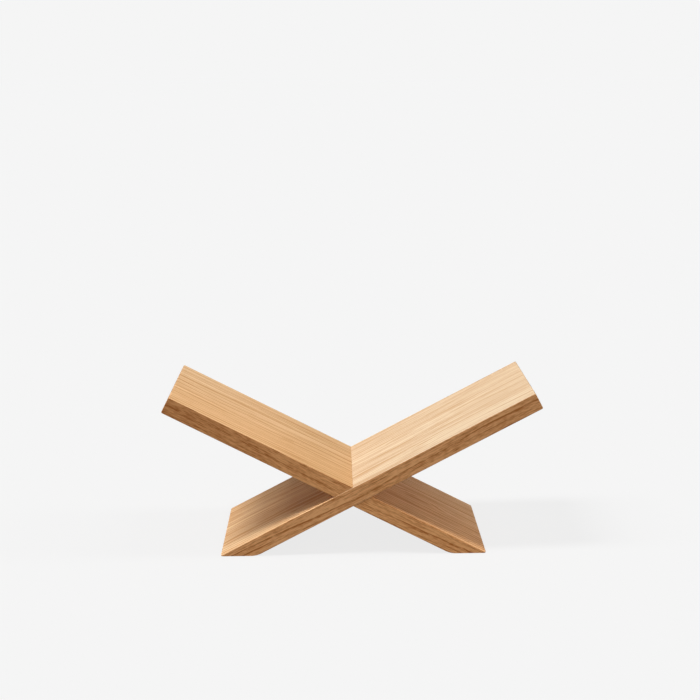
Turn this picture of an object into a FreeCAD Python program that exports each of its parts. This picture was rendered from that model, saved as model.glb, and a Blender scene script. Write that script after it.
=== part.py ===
"""Crossed book stand in solid oak.

Two identical flat boards cross in an X. Each has one slot, sawn half way through its depth on a bevel,
so that the two push together into a cross lap with no glue and no hardware. The upper ends of the boards
make a V that holds an open book, and the lower ends are cut level and are the feet.

Frame: +X to the right, +Y to the back, +Z up, in millimetres. The origin is on the floor, under the
middle of the lap.
"""
import FreeCAD
import Part

import math
import os

# Driving dimensions, in millimetres and degrees
BOARD_THICKNESS = 16.0
BOARD_DEPTH = 150.0  # front edge to back edge
OPENING_ANGLE = 125.0  # between the two faces that hold the book
ARM_LENGTH = 191.5  # from the valley of the V up to the end of the arm, along the book face
LEG_LENGTH = 142.2  # from the valley down to the corner of the toe, along the same face
LAP_CLEARANCE = 0.1  # between each wall of a slot and the board that fills it
LAP_END_GAP = 0.3  # between the ends of the two slots, so that the front edges come flush first
EDGE_RADIUS = 0.5  # sanded along the front and back outline of a board
END_RADIUS_EXTRA = 0.1  # the edges across an arm's end and along a toe are this much rounder
HEEL_RADIUS = 12.0  # where the sole runs into the under face
TOE_CORNER_RADIUS = 2.0  # at the front and back corners of a toe, seen square to the board

# Worked out from the driving dimensions
LEAN = math.radians((180.0 - OPENING_ANGLE) / 2)
VALLEY_HEIGHT = LEG_LENGTH * math.sin(LEAN)
END_RADIUS = EDGE_RADIUS + END_RADIUS_EXTRA
TOE_REACH = LEG_LENGTH - END_RADIUS / math.tan(LEAN / 2) + END_RADIUS  # to the rounded tip of the toe
HALF_DEPTH = BOARD_DEPTH / 2
SLOT_DEPTH = (BOARD_DEPTH + LAP_END_GAP) / 2

FRONT_TO_BACK = FreeCAD.Vector(0, 1, 0)
UP = FreeCAD.Vector(0, 0, 1)
VALLEY = FreeCAD.Vector(0, 0, VALLEY_HEIGHT)


def up_the_board(side):
    """Unit vector up a board whose arm is on the right (side 1) or on the left (side -1)."""
    return FreeCAD.Vector(side * math.cos(LEAN), 0, math.sin(LEAN))


def out_of_book_face(side):
    """Unit vector out of the book face of that board, towards the book."""
    return FreeCAD.Vector(-side * math.sin(LEAN), 0, math.cos(LEAN))


def rounded_outline(corners):
    """Closed wire through (point, radius) corners, with a tangent arc at each corner."""
    count = len(corners)
    arcs = []
    for i, (corner, radius) in enumerate(corners):
        before = (corners[i - 1][0] - corner).normalize()
        after = (corners[(i + 1) % count][0] - corner).normalize()
        half_angle = before.getAngle(after) / 2
        to_tangent = radius / math.tan(half_angle)
        to_arc = radius / math.sin(half_angle) - radius
        inwards = (before + after).normalize()
        arcs.append((corner + before * to_tangent, corner + inwards * to_arc, corner + after * to_tangent))
    edges = []
    for i, (start, middle, end) in enumerate(arcs):
        edges.append(Part.Arc(start, middle, end).toShape())
        edges.append(Part.LineSegment(end, arcs[(i + 1) % count][0]).toShape())
    return Part.Wire(edges)


def runs_front_to_back(edge):
    """True for an edge across the depth of a board, and not for one of its front or back outline."""
    return edge.BoundBox.YLength > HALF_DEPTH


def board_blank():
    """The board with its arm on the right and its foot on the left, sanded, before its cuts."""
    along, out = up_the_board(1), out_of_book_face(1)
    under = VALLEY - out * BOARD_THICKNESS
    heel_reach = LEG_LENGTH - BOARD_THICKNESS / math.tan(LEAN)
    outline = rounded_outline(
        [
            (VALLEY - along * LEG_LENGTH, END_RADIUS),
            (VALLEY + along * ARM_LENGTH, END_RADIUS),
            (under + along * ARM_LENGTH, END_RADIUS),
            (under - along * heel_reach, HEEL_RADIUS),
        ]
    )
    outline.translate(FRONT_TO_BACK * -HALF_DEPTH)
    blank = Part.Face(outline).extrude(FRONT_TO_BACK * BOARD_DEPTH)
    outline_edges = [edge for edge in blank.Edges if not runs_front_to_back(edge)]
    return blank.makeFillet(EDGE_RADIUS, outline_edges)


def slot_cutter():
    """The room that the other board takes, with its clearance, from the end of the slot to the back."""
    along, out = up_the_board(-1), out_of_book_face(-1)
    upper = VALLEY + out * LAP_CLEARANCE
    lower = VALLEY - out * (BOARD_THICKNESS + LAP_CLEARANCE)
    leg, arm = along * -LEG_LENGTH, along * ARM_LENGTH
    section = Part.Face(Part.makePolygon([upper + leg, upper + arm, lower + arm, lower + leg, upper + leg]))
    section.translate(FRONT_TO_BACK * (HALF_DEPTH - SLOT_DEPTH))
    return section.extrude(FRONT_TO_BACK * BOARD_DEPTH)


def toe_corner_waste(end):
    """What the easing takes off the front (end -1) or back (end 1) corner of the toe, right through it."""
    along, out = up_the_board(1) * TOE_CORNER_RADIUS, out_of_book_face(1)
    inwards = FRONT_TO_BACK * (-end * TOE_CORNER_RADIUS)
    corner = VALLEY - up_the_board(1) * TOE_REACH + FRONT_TO_BACK * (end * HALF_DEPTH)
    on_toe, on_edge = corner + inwards, corner + along
    middle = corner + (along + inwards) * (1 - math.sqrt(0.5))
    round_side = Part.Arc(on_toe, middle, on_edge).toShape()
    square_side = Part.makePolygon(
        [on_edge, on_edge - inwards, corner - along - inwards, on_toe - along, on_toe]
    )
    section = Part.Face(Part.Wire([round_side] + square_side.Edges))
    section.translate(out * TOE_CORNER_RADIUS)
    return section.extrude(out * -(BOARD_THICKNESS + TOE_CORNER_RADIUS))


def left_foot_board():
    """Foot on the left, arm on the right, slotted from the back: its front edge runs through the lap."""
    return board_blank().cut([slot_cutter(), toe_corner_waste(-1), toe_corner_waste(1)]).Solids[0]


def right_foot_board(board):
    """The same board turned half a turn, so its slot opens to the front."""
    turned = board.copy()
    turned.rotate(FreeCAD.Vector(0, 0, 0), UP, 180)
    return turned


def main():
    os.makedirs("parts", exist_ok=True)
    left = left_foot_board()
    right = right_foot_board(left)
    for name, shape in {"left_foot_board": left, "right_foot_board": right}.items():
        box = shape.optimalBoundingBox()
        print(name, "valid", shape.isValid(), "volume", round(shape.Volume), "faces", len(shape.Faces))
        print("  x", round(box.XMin, 2), round(box.XMax, 2), "z", round(box.ZMin, 3), round(box.ZMax, 2))
        shape.exportStep(f"parts/{name}.step")
    print("shared volume", round(left.common(right).Volume, 6), "gap", round(left.distToShape(right)[0], 4))


main()
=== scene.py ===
import math

import bmesh
import bpy
from mathutils import Matrix, Vector


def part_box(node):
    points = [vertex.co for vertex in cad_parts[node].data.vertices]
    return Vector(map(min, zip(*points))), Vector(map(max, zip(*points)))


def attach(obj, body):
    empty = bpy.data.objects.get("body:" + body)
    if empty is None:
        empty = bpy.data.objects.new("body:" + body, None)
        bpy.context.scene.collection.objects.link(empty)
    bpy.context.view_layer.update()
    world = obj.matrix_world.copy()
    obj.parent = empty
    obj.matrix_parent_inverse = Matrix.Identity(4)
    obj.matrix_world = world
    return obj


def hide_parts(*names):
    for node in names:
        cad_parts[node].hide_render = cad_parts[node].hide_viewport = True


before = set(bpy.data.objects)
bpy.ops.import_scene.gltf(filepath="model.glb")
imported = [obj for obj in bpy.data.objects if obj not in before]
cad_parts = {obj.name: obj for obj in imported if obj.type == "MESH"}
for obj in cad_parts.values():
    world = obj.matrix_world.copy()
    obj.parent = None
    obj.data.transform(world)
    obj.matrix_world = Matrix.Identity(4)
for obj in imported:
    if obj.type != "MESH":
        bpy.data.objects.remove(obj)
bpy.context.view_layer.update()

# Left-foot board
# A plank of rift-sawn oak, planed to 16 mm, with its arm sawn square and its foot sawn level. A slot on
# a bevel, open to the back, goes half way through it for the other board. Its edges are eased by hand.

THICKNESS = 0.016
LEAN = math.radians(27.5)  # of a board from the floor
ARM = 0.1915  # from the valley of the V up the book face to the arm's end
LEG = 0.1422  # from the valley down the book face to the toe
VALLEY_HEIGHT = LEG * math.sin(LEAN)
HALF_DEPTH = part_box("left_foot_board")[1].y
HEEL_ALONG = THICKNESS / math.tan(LEAN) - LEG  # from the valley to the heel, up the board
LAP_CLEARANCE = 0.0001  # between a wall of the slot and the other board
LAP_END_GAP = 0.0003  # between the ends of the two slots
PLANED_BACK = 0.0003  # taken off the slotted edge, so the other board's edge stands a little proud
EASED_EDGE = 0.0005  # taken off each face along the outline and the toe
EASED_END = 0.0013  # and across the arm's end
ROUND_HEEL = 0.02  # radius where the sole runs into the under face
TOE_BLUNT = 0.0009  # taken off the point of the toe, square to the board
TOE_CORNER = 0.003  # radius at the front and back corners of the toe, seen square to the board
TOE_CORNER_FLATS = 5
SHARP_FROM = math.radians(40)  # edges that turn more than this are shaded sharp
SAME_PLACE = 1e-6
SAME_WAY = 0.999  # cosine of the angle between two directions that count as one
FRONT, BACK = -HALF_DEPTH, HALF_DEPTH - PLANED_BACK

UP_BOARD = Vector((math.cos(LEAN), 0, math.sin(LEAN)))
OUT_OF_BOOK_FACE = Vector((-math.sin(LEAN), 0, math.cos(LEAN)))
OUT_OF_SLOT_WALL = Vector((math.sin(LEAN), 0, math.cos(LEAN)))


def on_board(along, out, y):
    """The point that far up the board from the valley and that far out of its book face."""
    return Vector((0, y, VALLEY_HEIGHT)) + UP_BOARD * along + OUT_OF_BOOK_FACE * out


def edge_across(bm, along, out):
    """The edge that runs from front to back at that corner of the board's outline."""
    ends = [on_board(along, out, y) for y in (FRONT, BACK)]
    return [
        edge for edge in bm.edges
        if all(min((vert.co - end).length for end in ends) < SAME_PLACE for vert in edge.verts)
    ]


def round_over(bm, edges, taken_off, segments):
    """Rounds edges so that the curve starts that far from them on each face."""
    bmesh.ops.bevel(
        bm, geom=edges, offset=taken_off, offset_type="OFFSET", affect="EDGES", segments=segments,
        profile=0.5, material=-1, clamp_overlap=False,
    )


def in_slot(face):
    """True for a wall of the slot."""
    return abs(face.normal.dot(OUT_OF_SLOT_WALL)) > SAME_WAY


def grow(bm, faces, distance):
    """Extrudes faces that far to the back, and gives the new ones."""
    grown = bmesh.ops.extrude_face_region(bm, geom=faces)["geom"]
    moved = [item for item in grown if isinstance(item, bmesh.types.BMVert)]
    bmesh.ops.translate(bm, verts=moved, vec=(0, distance, 0))
    return [item for item in grown if isinstance(item, bmesh.types.BMFace)]


def sand_flat(bm, place, outwards):
    """Takes off what lies outside a flat at that place, and closes the cut."""
    cut = bmesh.ops.bisect_plane(
        bm, geom=bm.verts[:] + bm.edges[:] + bm.faces[:],
        plane_co=place, plane_no=outwards, clear_outer=True,
    )
    rim = [item for item in cut["geom_cut"] if isinstance(item, bmesh.types.BMEdge)]
    bmesh.ops.edgeloop_fill(bm, edges=rim)


def ease_toe_corners(bm):
    """Blunts the toe, and takes off its front and back corners with flats round a small radius."""
    toe_tip = TOE_BLUNT - LEG
    sand_flat(bm, on_board(toe_tip, 0, 0), -UP_BOARD)
    for corner, inwards in ((FRONT, 1), (BACK, -1)):
        centre = on_board(toe_tip + TOE_CORNER, 0, corner + inwards * TOE_CORNER)
        for i in range(TOE_CORNER_FLATS):
            turn = math.radians(90) * (i + 0.5) / TOE_CORNER_FLATS
            outwards = Vector((0, -inwards * math.sin(turn), 0)) - UP_BOARD * math.cos(turn)
            sand_flat(bm, centre + outwards * TOE_CORNER, outwards)


def sawn_board():
    """The board with its arm on the right, its foot on the left and its slot open to the back."""
    slot_low = -(THICKNESS + LAP_CLEARANCE) / math.sin(2 * LEAN)
    slot_high = LAP_CLEARANCE / math.sin(2 * LEAN)
    bevel = THICKNESS / math.tan(2 * LEAN)  # how far a slot wall leans through the thickness
    bm = bmesh.new()
    book_side = [bm.verts.new(on_board(s, 0, FRONT)) for s in (-LEG, slot_low, slot_high, ARM)]
    under_side = [
        bm.verts.new(on_board(s, -THICKNESS, FRONT))
        for s in (HEEL_ALONG, slot_low + bevel, slot_high + bevel, ARM)
    ]
    front = [
        bm.faces.new((book_side[i], book_side[i + 1], under_side[i + 1], under_side[i]))
        for i in range(3)
    ]
    slot_end = -LAP_END_GAP / 2
    middle = grow(bm, front, slot_end - FRONT)
    foot, _, arm = sorted(middle, key=lambda face: face.calc_center_median().x)
    grow(bm, [foot, arm], BACK - slot_end)
    bmesh.ops.delete(bm, geom=[foot, arm], context="FACES_ONLY")
    bmesh.ops.recalc_face_normals(bm, faces=bm.faces)
    bmesh.ops.dissolve_limit(bm, angle_limit=math.radians(1), verts=bm.verts, edges=bm.edges)

    heel = edge_across(bm, HEEL_ALONG, -THICKNESS)
    round_over(bm, heel, ROUND_HEEL * math.tan(LEAN / 2), segments=8)
    arm_end = edge_across(bm, ARM, 0) + edge_across(bm, ARM, -THICKNESS)
    round_over(bm, arm_end, EASED_END, segments=5)
    outline = [
        edge for edge in bm.edges
        if any(all(abs(vert.co.y - y) < SAME_PLACE for vert in edge.verts) for y in (FRONT, BACK))
        and not any(in_slot(face) for face in edge.link_faces)
    ]
    round_over(bm, outline + edge_across(bm, -LEG, 0), EASED_EDGE, segments=4)
    ease_toe_corners(bm)
    return bm


def board_piece(name, bm, finish):
    """The finished board as an object, shaded smooth over its eased edges and flat on its faces."""
    bmesh.ops.recalc_face_normals(bm, faces=bm.faces)
    for face in bm.faces:
        face.smooth = True
    mesh = bpy.data.meshes.new(name)
    bm.to_mesh(mesh)
    bm.free()
    mesh.set_sharp_from_angle(angle=SHARP_FROM)
    mesh.materials.append(finish)
    piece = bpy.data.objects.new(name, mesh)
    bpy.context.scene.collection.objects.link(piece)
    flat_faces = piece.modifiers.new("flat_faces", "WEIGHTED_NORMAL")
    flat_faces.keep_sharp = True
    return piece


COLOUR_A, COLOUR_B, COLOUR_RESULT = 6, 7, 2  # a Mix node's sockets for colours


class Value:
    """A value in a material: sums on it add Math nodes, and node() adds any other node."""

    def __init__(self, tree, output=None):
        self.tree = tree
        self.output = output

    def node(self, kind, settings=None, sockets=None, output=0):
        """Adds a node, sets it, feeds its sockets with values or links, and gives one of its outputs."""
        added = self.tree.nodes.new(kind)
        for name, setting in (settings or {}).items():
            setattr(added, name, setting)
        for name, value in (sockets or {}).items():
            if isinstance(value, Value):
                value.into(added.inputs[name])
            else:
                added.inputs[name].default_value = value
        return Value(self.tree, added.outputs[output])

    def into(self, socket):
        """Links the value to a socket."""
        self.tree.links.new(self.output, socket)

    def math(self, operation, *terms):
        return self.node("ShaderNodeMath", {"operation": operation}, dict(enumerate(terms)))

    def __add__(self, other):
        return self.math("ADD", self, other)

    __radd__ = __add__

    def __sub__(self, other):
        return self.math("SUBTRACT", self, other)

    def __rsub__(self, other):
        return self.math("SUBTRACT", other, self)

    def __mul__(self, other):
        return self.math("MULTIPLY", self, other)

    __rmul__ = __mul__

    def __truediv__(self, other):
        return self.math("DIVIDE", self, other)

    def __rtruediv__(self, other):
        return self.math("DIVIDE", other, self)

    def part(self, axis):
        """One part of a vector, X, Y or Z."""
        return self.node("ShaderNodeSeparateXYZ", {}, {0: self}, axis)

    def size(self):
        return self.math("ABSOLUTE", self)

    def ease(self, low, high):
        """0 below low, 1 above high, smooth between them."""
        return self.node(
            "ShaderNodeMapRange", {"interpolation_type": "SMOOTHSTEP"},
            {"Value": self, "From Min": low, "From Max": high},
        )

    def stretched(self, lengths):
        """A vector divided by a length along each of its axes."""
        shares = tuple(1 / length for length in lengths)
        return self.node("ShaderNodeVectorMath", {"operation": "MULTIPLY"}, {0: self, 1: shares})

    def cloud(self, lengths, detail=0.0):
        """Smooth noise about 0, with lumps that long along each axis."""
        return self.node(
            "ShaderNodeTexNoise", {},
            {"Vector": self.stretched(lengths), "Scale": 1.0, "Detail": detail},
        ) - 0.5

    def cloud_line(self, length):
        """Smooth noise about 0 along one number."""
        return self.node(
            "ShaderNodeTexNoise", {"noise_dimensions": "1D"},
            {"W": self / length, "Scale": 1.0, "Detail": 1.0},
        ) - 0.5

    def between(self, low, high):
        """The colour from low, at 0, to high, at 1."""
        return self.node(
            "ShaderNodeMix", {"data_type": "RGBA"},
            {"Factor": self, COLOUR_A: low, COLOUR_B: high}, COLOUR_RESULT,
        )

    def tinted(self, share, tint):
        """A colour, multiplied by a tint where share is 1."""
        return self.node(
            "ShaderNodeMix", {"data_type": "RGBA", "blend_type": "MULTIPLY"},
            {"Factor": share, COLOUR_A: self, COLOUR_B: tint}, COLOUR_RESULT,
        )


def oak(name, turn, log_place, ring_start, eye_place, eye_size, eye_height, wave, edge_lines, colours):
    """Rift-sawn oak under a matt oil. Rings, fibres and pores run through the plank, in millimetres.

    In the plank, X goes up the board from the valley, Y from its whole edge to its slotted edge, and Z
    out of its book face.
    """
    finish = bpy.data.materials.new(name)
    finish.use_nodes = True
    shader = finish.node_tree.nodes["Principled BSDF"]
    start = Value(finish.node_tree)
    millimetres = 1000
    slotted_edge = HALF_DEPTH * millimetres
    whole_edge = -slotted_edge
    valley = Vector((0, 0, VALLEY_HEIGHT * millimetres))
    valley.rotate(turn)
    plank = start.node(
        "ShaderNodeMapping", {},
        {
            "Vector": start.node("ShaderNodeTexCoord", output="Object"),
            "Scale": (millimetres, millimetres, millimetres),
            "Rotation": turn.to_euler(),
            "Location": -valley,
        },
    )
    facing = start.node(
        "ShaderNodeMapping", {"vector_type": "NORMAL"},
        {"Vector": start.node("ShaderNodeTexCoord", output="Normal"), "Rotation": turn.to_euler()},
    )
    edge_on = facing.part("Y").size().ease(0.45, 0.85)
    end_on = facing.part("X").size().ease(0.3, 0.9)

    # The rings bulge into an eye at one place and run nearly straight along the front and back edges
    log = start.node("ShaderNodeVectorMath", {"operation": "ADD"}, {0: plank, 1: log_place})
    from_eye = start.node("ShaderNodeVectorMath", {"operation": "SUBTRACT"}, {0: plank, 1: eye_place})
    from_eye = from_eye.stretched(eye_size)
    eye_distance = start.node("ShaderNodeVectorMath", {"operation": "LENGTH"}, {0: from_eye}, "Value")
    eye = 1 - eye_distance.ease(0, 1)
    inside = 1 - plank.part("Y").size().ease(35, slotted_edge) * 0.8
    long_bend = log.cloud((190, 60, 60)) * 13
    short_bend = log.cloud((75, 24, 24)) * 9
    wobble = log.cloud((26, 7, 7)) * 1.1
    bend = (long_bend + short_bend) * inside * wave + wobble
    sag_length, sag_height = 52, 1.3
    sag = start.math("COSINE", plank.part("X") / sag_length) * sag_height
    rift = math.radians(40)  # how far the rings lean from square to the book face
    from_heart = log.part("Y") * math.cos(rift) + log.part("Z") * math.sin(rift)
    around = log.part("Z") * math.cos(rift) - log.part("Y") * math.sin(rift)
    across = ring_start - (from_heart + bend + eye * eye_height + sag)
    ring_width = 4.0
    rings = across / ring_width + across.cloud_line(11) * 2
    ring = start.math("FRACT", rings)
    ring_mood = start.node(
        "ShaderNodeTexWhiteNoise", {"noise_dimensions": "1D"}, {"W": start.math("FLOOR", rings)}
    )
    spring_wood = (1 - ring.ease(0.08, 0.5)) * ring.ease(0.0, 0.05)
    summer_wood = ring.ease(0.65, 0.95)
    dark_line = spring_wood * ring_mood.ease(0.5, 0.95)
    pale_line = (1 - spring_wood) * (1 - ring_mood.ease(0.0, 0.35))

    # Streaks, hairs, fibres and pores follow the bent rings
    grain = start.node("ShaderNodeCombineXYZ", {}, {"X": log.part("X"), "Y": across, "Z": around})
    band = grain.cloud((150, 7, 40), 2)
    streak = grain.cloud((120, 2.6, 2.6), 1)
    fine_line = streak.ease(0.04, 0.2) - (0 - streak).ease(0.08, 0.24) * 0.6
    hair = grain.cloud((50, 1.4, 1.4), 1)
    hair_line = hair.ease(0.05, 0.2) - (0 - hair).ease(0.1, 0.25) * 0.5
    fibre = grain.cloud((24, 1.0, 1.0), 2)
    fleck = grain.cloud((6, 0.9, 0.9), 1)
    pores = grain.cloud((7, 0.35, 0.35)).ease(0.06, 0.16) * (0.3 + spring_wood * 0.7)

    # The wood is stronger in figure down the leg, and changes over inside the lap, out of sight. Near
    # the lap the faces carry a painted shade, darker where the other board shades them.
    leg = 1 - plank.part("X").ease(-20, 0)
    # Painted shade: 1 at the lap, fading out by 115 mm up or down the board
    painted_lap_shade = 1 - plank.part("X").size().ease(30, 115)
    face_middle, edge_middle = 0.74, 0.7
    figure = band * 0.6 + pale_line * 0.18 + summer_wood * 0.1 - spring_wood * 0.34
    tone = face_middle + (figure - dark_line * 0.6) * (1 + leg * 0.7) - fine_line * (0.56 + leg * 0.44)
    face_tone = tone + fibre * 0.6 - pores * 0.3
    edge_figure = figure * (0.4 + leg * 0.45)
    edge_tone = edge_middle + edge_figure - fine_line * (0.22 + leg * 0.1) - hair_line * 0.4
    edge_tone = edge_tone + fibre * 1.5 + fleck * 1.6
    edge_tone = edge_tone - dark_line * (0.62 - fleck * 1.4) * edge_lines
    end_tone = tone - pores * 0.3

    face = face_tone.between(*colours["face"])
    face = face.tinted(plank.part("Y").ease(whole_edge, slotted_edge), colours["side tint"])
    # The leg's face is tinted warmer: partly the wood's own tone, partly a painted warmth of the shade
    # the legs stand in
    face = face.tinted(leg, colours["leg tone and painted shade warmth"])
    # Painted shade: the leg's face darkens towards the lap, under the other board's arm, except along
    # its whole edge, and the arm's face darkens towards the lap too
    off_whole_edge = plank.part("Y").ease(whole_edge, whole_edge + 20)
    face = face.tinted(painted_lap_shade * leg * off_whole_edge, colours["leg painted lap shade"])
    face = face.tinted(painted_lap_shade * (1 - leg), colours["arm painted lap shade"])
    up_arm = plank.part("X").ease(0, 150)
    # The edges are darker and more orange than the faces: partly the edge grain's own colour, partly a
    # painted shade, the warm deep tone of sides that the lamps light only glancingly
    edge = edge_tone.between(*colours["edge"]).tinted(up_arm, colours["arm edge tint"])
    end = end_tone.between(*colours["end"])
    colour = end_on.between(edge_on.between(face, edge), end)
    colour.into(shader.inputs["Base Color"])
    rough = 0.6 + pores * 0.2 - fibre * 0.1
    rough.into(shader.inputs["Roughness"])
    relief = fibre * 0.5 - pores - spring_wood * 0.3
    bump = start.node("ShaderNodeBump", {}, {"Strength": 0.25, "Distance": 0.0002, "Height": relief})
    bump.into(shader.inputs["Normal"])
    shader.inputs["Specular IOR Level"].default_value = 0.08
    return finish


LAID_FLAT = Matrix.Rotation(LEAN, 3, "Y")  # brings the board's length level, for its grain

left_oak = oak(
    "left_foot_oak",
    turn=LAID_FLAT,
    log_place=(410.0, 120.0, 60.0),
    ring_start=-2.4,
    eye_place=(30, 5, 0),
    eye_size=(95, 20, 40),
    eye_height=5,
    wave=1.0,
    edge_lines=1.1,
    colours={
        "face": ((0.63, 0.367, 0.178, 1), (0.89, 0.708, 0.491, 1)),
        "side tint": (1, 0.98, 0.96, 1),
        # partly the wood's own tone, partly painted warmth of the legs' shade
        "leg tone and painted shade warmth": (1.16, 1.023, 0.855, 1),
        # painted shade near the lap, on the leg and on the arm
        "leg painted lap shade": (0.88, 0.87, 0.84, 1),
        "arm painted lap shade": (1, 1, 1, 1),
        # edge grain, partly a painted warm shade
        "edge": ((0.488, 0.172, 0.0415, 1), (0.975, 0.505, 0.217, 1)),
        "arm edge tint": (0.97, 0.965, 0.965, 1),
        "end": ((0.45, 0.24, 0.10, 1), (0.75, 0.47, 0.25, 1)),
    },
)
left_board = board_piece("left_foot_oak_board", sawn_board(), left_oak)
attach(left_board, "left_foot_board")
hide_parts("left_foot_board")

# Right-foot board
# The same plank form turned half a turn about the upright, so that its slot opens to the front and takes
# the left-foot board. It is sawn from a warmer part of the log and has its own grain.

HALF_TURN = Matrix.Rotation(math.pi, 3, "Z")

right_oak = oak(
    "right_foot_oak",
    turn=LAID_FLAT @ HALF_TURN,
    log_place=(1310.0, 530.0, 240.0),
    ring_start=-3.2,
    eye_place=(-80, -6, 0),
    eye_size=(42, 18, 40),
    eye_height=7,
    wave=0.5,
    edge_lines=0.4,
    colours={
        "face": ((0.58, 0.292, 0.106, 1), (0.885, 0.615, 0.358, 1)),
        "side tint": (1, 0.90, 0.78, 1),
        # partly the wood's own tone, partly painted warmth of the legs' shade
        "leg tone and painted shade warmth": (0.98, 0.905, 0.885, 1),
        # painted shade near the lap, on the leg and on the arm
        "leg painted lap shade": (0.95, 0.95, 0.94, 1),
        "arm painted lap shade": (0.925, 0.912, 0.865, 1),
        # edge grain, partly a painted warm shade
        "edge": ((0.508, 0.167, 0.039, 1), (0.99, 0.508, 0.208, 1)),
        "arm edge tint": (0.83, 0.775, 0.73, 1),
        "end": ((0.43, 0.22, 0.09, 1), (0.72, 0.44, 0.23, 1)),
    },
)
turned = sawn_board()
bmesh.ops.rotate(turned, verts=turned.verts, cent=(0, 0, 0), matrix=HALF_TURN)
right_board = board_piece("right_foot_oak_board", turned, right_oak)
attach(right_board, "right_foot_board")
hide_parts("right_foot_board")

# Floor and backdrop
# A plain pale sheet, wide enough to meet the room behind it at the same tone. It keeps a faint shadow of
# the stand, and sends no more light back up under the boards than grey paper does.

PALE = 0.913  # the backdrop's tone
PAPER_GREY = 0.4
GLOW = 0.9035  # brings the lit part of the sheet to the backdrop's tone
SHADOW_SHARE = 0.11  # of the sheet's tone that comes from the lamps, and so takes a shadow
FLOOR_REACH = 40.0


def grey(level):
    return (level, level, level, 1)


def seen_directly(start):
    """1 for rays from the camera, and for those that a glossy or clear surface sends on."""
    camera_ray = start.node("ShaderNodeLightPath", output="Is Camera Ray")
    glossy_ray = start.node("ShaderNodeLightPath", output="Is Glossy Ray")
    clear_ray = start.node("ShaderNodeLightPath", output="Is Transmission Ray")
    return start.math("MAXIMUM", start.math("MAXIMUM", camera_ray, glossy_ray), clear_ray)


sheet_form = bmesh.new()
bmesh.ops.create_grid(sheet_form, x_segments=1, y_segments=1, size=FLOOR_REACH)
floor_mesh = bpy.data.meshes.new("floor")
sheet_form.to_mesh(floor_mesh)
sheet_form.free()
floor = bpy.data.objects.new("floor", floor_mesh)
bpy.context.scene.collection.objects.link(floor)
paper = bpy.data.materials.new("pale_paper")
paper.use_nodes = True
sheet = paper.node_tree.nodes["Principled BSDF"]
sheet.inputs["Roughness"].default_value = 1
sheet.inputs["Specular IOR Level"].default_value = 0
paper_start = Value(paper.node_tree)
floor_seen = seen_directly(paper_start)
floor_seen.between(grey(PAPER_GREY), grey(PALE)).into(sheet.inputs["Base Color"])
lit = Value(paper.node_tree, sheet.outputs[0])
glow = paper_start.node("ShaderNodeEmission", {}, {"Color": grey(GLOW), "Strength": 1.0})
even = paper_start.node("ShaderNodeMixShader", {}, {0: floor_seen * (1 - SHADOW_SHARE), 1: lit, 2: glow})
even.into(paper.node_tree.nodes["Material Output"].inputs["Surface"])
floor_mesh.materials.append(paper)

# Studio light
# A row of soft boxes that goes over the stand from side to side, strongest high on the left and a little
# in front there, in an even pale room that is lighter at its front and back.

LEFT_LEVELS = {22: 0.325, 32: 0.3, 44: 0.145}  # by degrees from upright
RIGHT_ANGLES = (18, 30, 45, 60, 75)
RIGHT_LEVEL = 0.08
LEFT_TO_FRONT = math.radians(9)
BOX_SPREAD = math.radians(12)
ROOM_LEVEL = 0.1
ROOM_ENDS = 0.17  # added towards the front and the back


def soft_box(name, to_right, to_front, level):
    """A far lamp that gives that share of full light to a surface square to it."""
    lamp = bpy.data.lights.new(name, "SUN")
    lamp.energy = level * math.pi
    lamp.angle = BOX_SPREAD
    box = bpy.data.objects.new(name, lamp)
    towards_lamp = Vector((math.tan(to_right), -math.tan(to_front), 1))
    box.rotation_euler = towards_lamp.to_track_quat("Z", "Y").to_euler()
    bpy.context.scene.collection.objects.link(box)


for angle, level in LEFT_LEVELS.items():
    soft_box(f"left_soft_box_{angle}", -math.radians(angle), LEFT_TO_FRONT, level)
for angle in RIGHT_ANGLES:
    soft_box(f"right_soft_box_{angle}", math.radians(angle), 0, RIGHT_LEVEL)
room = bpy.data.worlds.new("room")
room.use_nodes = True
bpy.context.scene.world = room
room_start = Value(room.node_tree)
way = room_start.node("ShaderNodeTexCoord", output="Generated")
room_light = way.part("Y").size() * ROOM_ENDS + ROOM_LEVEL
room_seen = seen_directly(room_start)
strength = room_light * (1 - room_seen) + room_seen * PALE
dome = room.node_tree.nodes["Background"]
dome.inputs["Color"].default_value = grey(1)
strength.into(dome.inputs["Strength"])
bpy.context.scene.view_settings.view_transform = "Standard"

# Camera
# A long lens a little above the stand and nearly square to its front, as in the photograph.

FRAME_PIXELS = 700
FOCAL_PIXELS = 1447.9
SENSOR = 36.0
CAMERA_PLACE = (-0.01758, -1.3789, 0.45485)
TURNED_RIGHT, LOOKING_DOWN, TIPPED_RIGHT = 0.6964, 11.1768, 0.499  # degrees

camera_data = bpy.data.cameras.new("camera")
camera_data.sensor_width = SENSOR
camera_data.lens = FOCAL_PIXELS / FRAME_PIXELS * SENSOR
camera = bpy.data.objects.new("camera", camera_data)
to_right = Matrix.Rotation(math.radians(-TURNED_RIGHT), 4, "Z")
looking_down = Matrix.Rotation(math.radians(90 - LOOKING_DOWN), 4, "X")
tipped = Matrix.Rotation(math.radians(-TIPPED_RIGHT), 4, "Z")
camera.matrix_world = Matrix.Translation(CAMERA_PLACE) @ to_right @ looking_down @ tipped
bpy.context.scene.collection.objects.link(camera)
bpy.context.scene.camera = camera
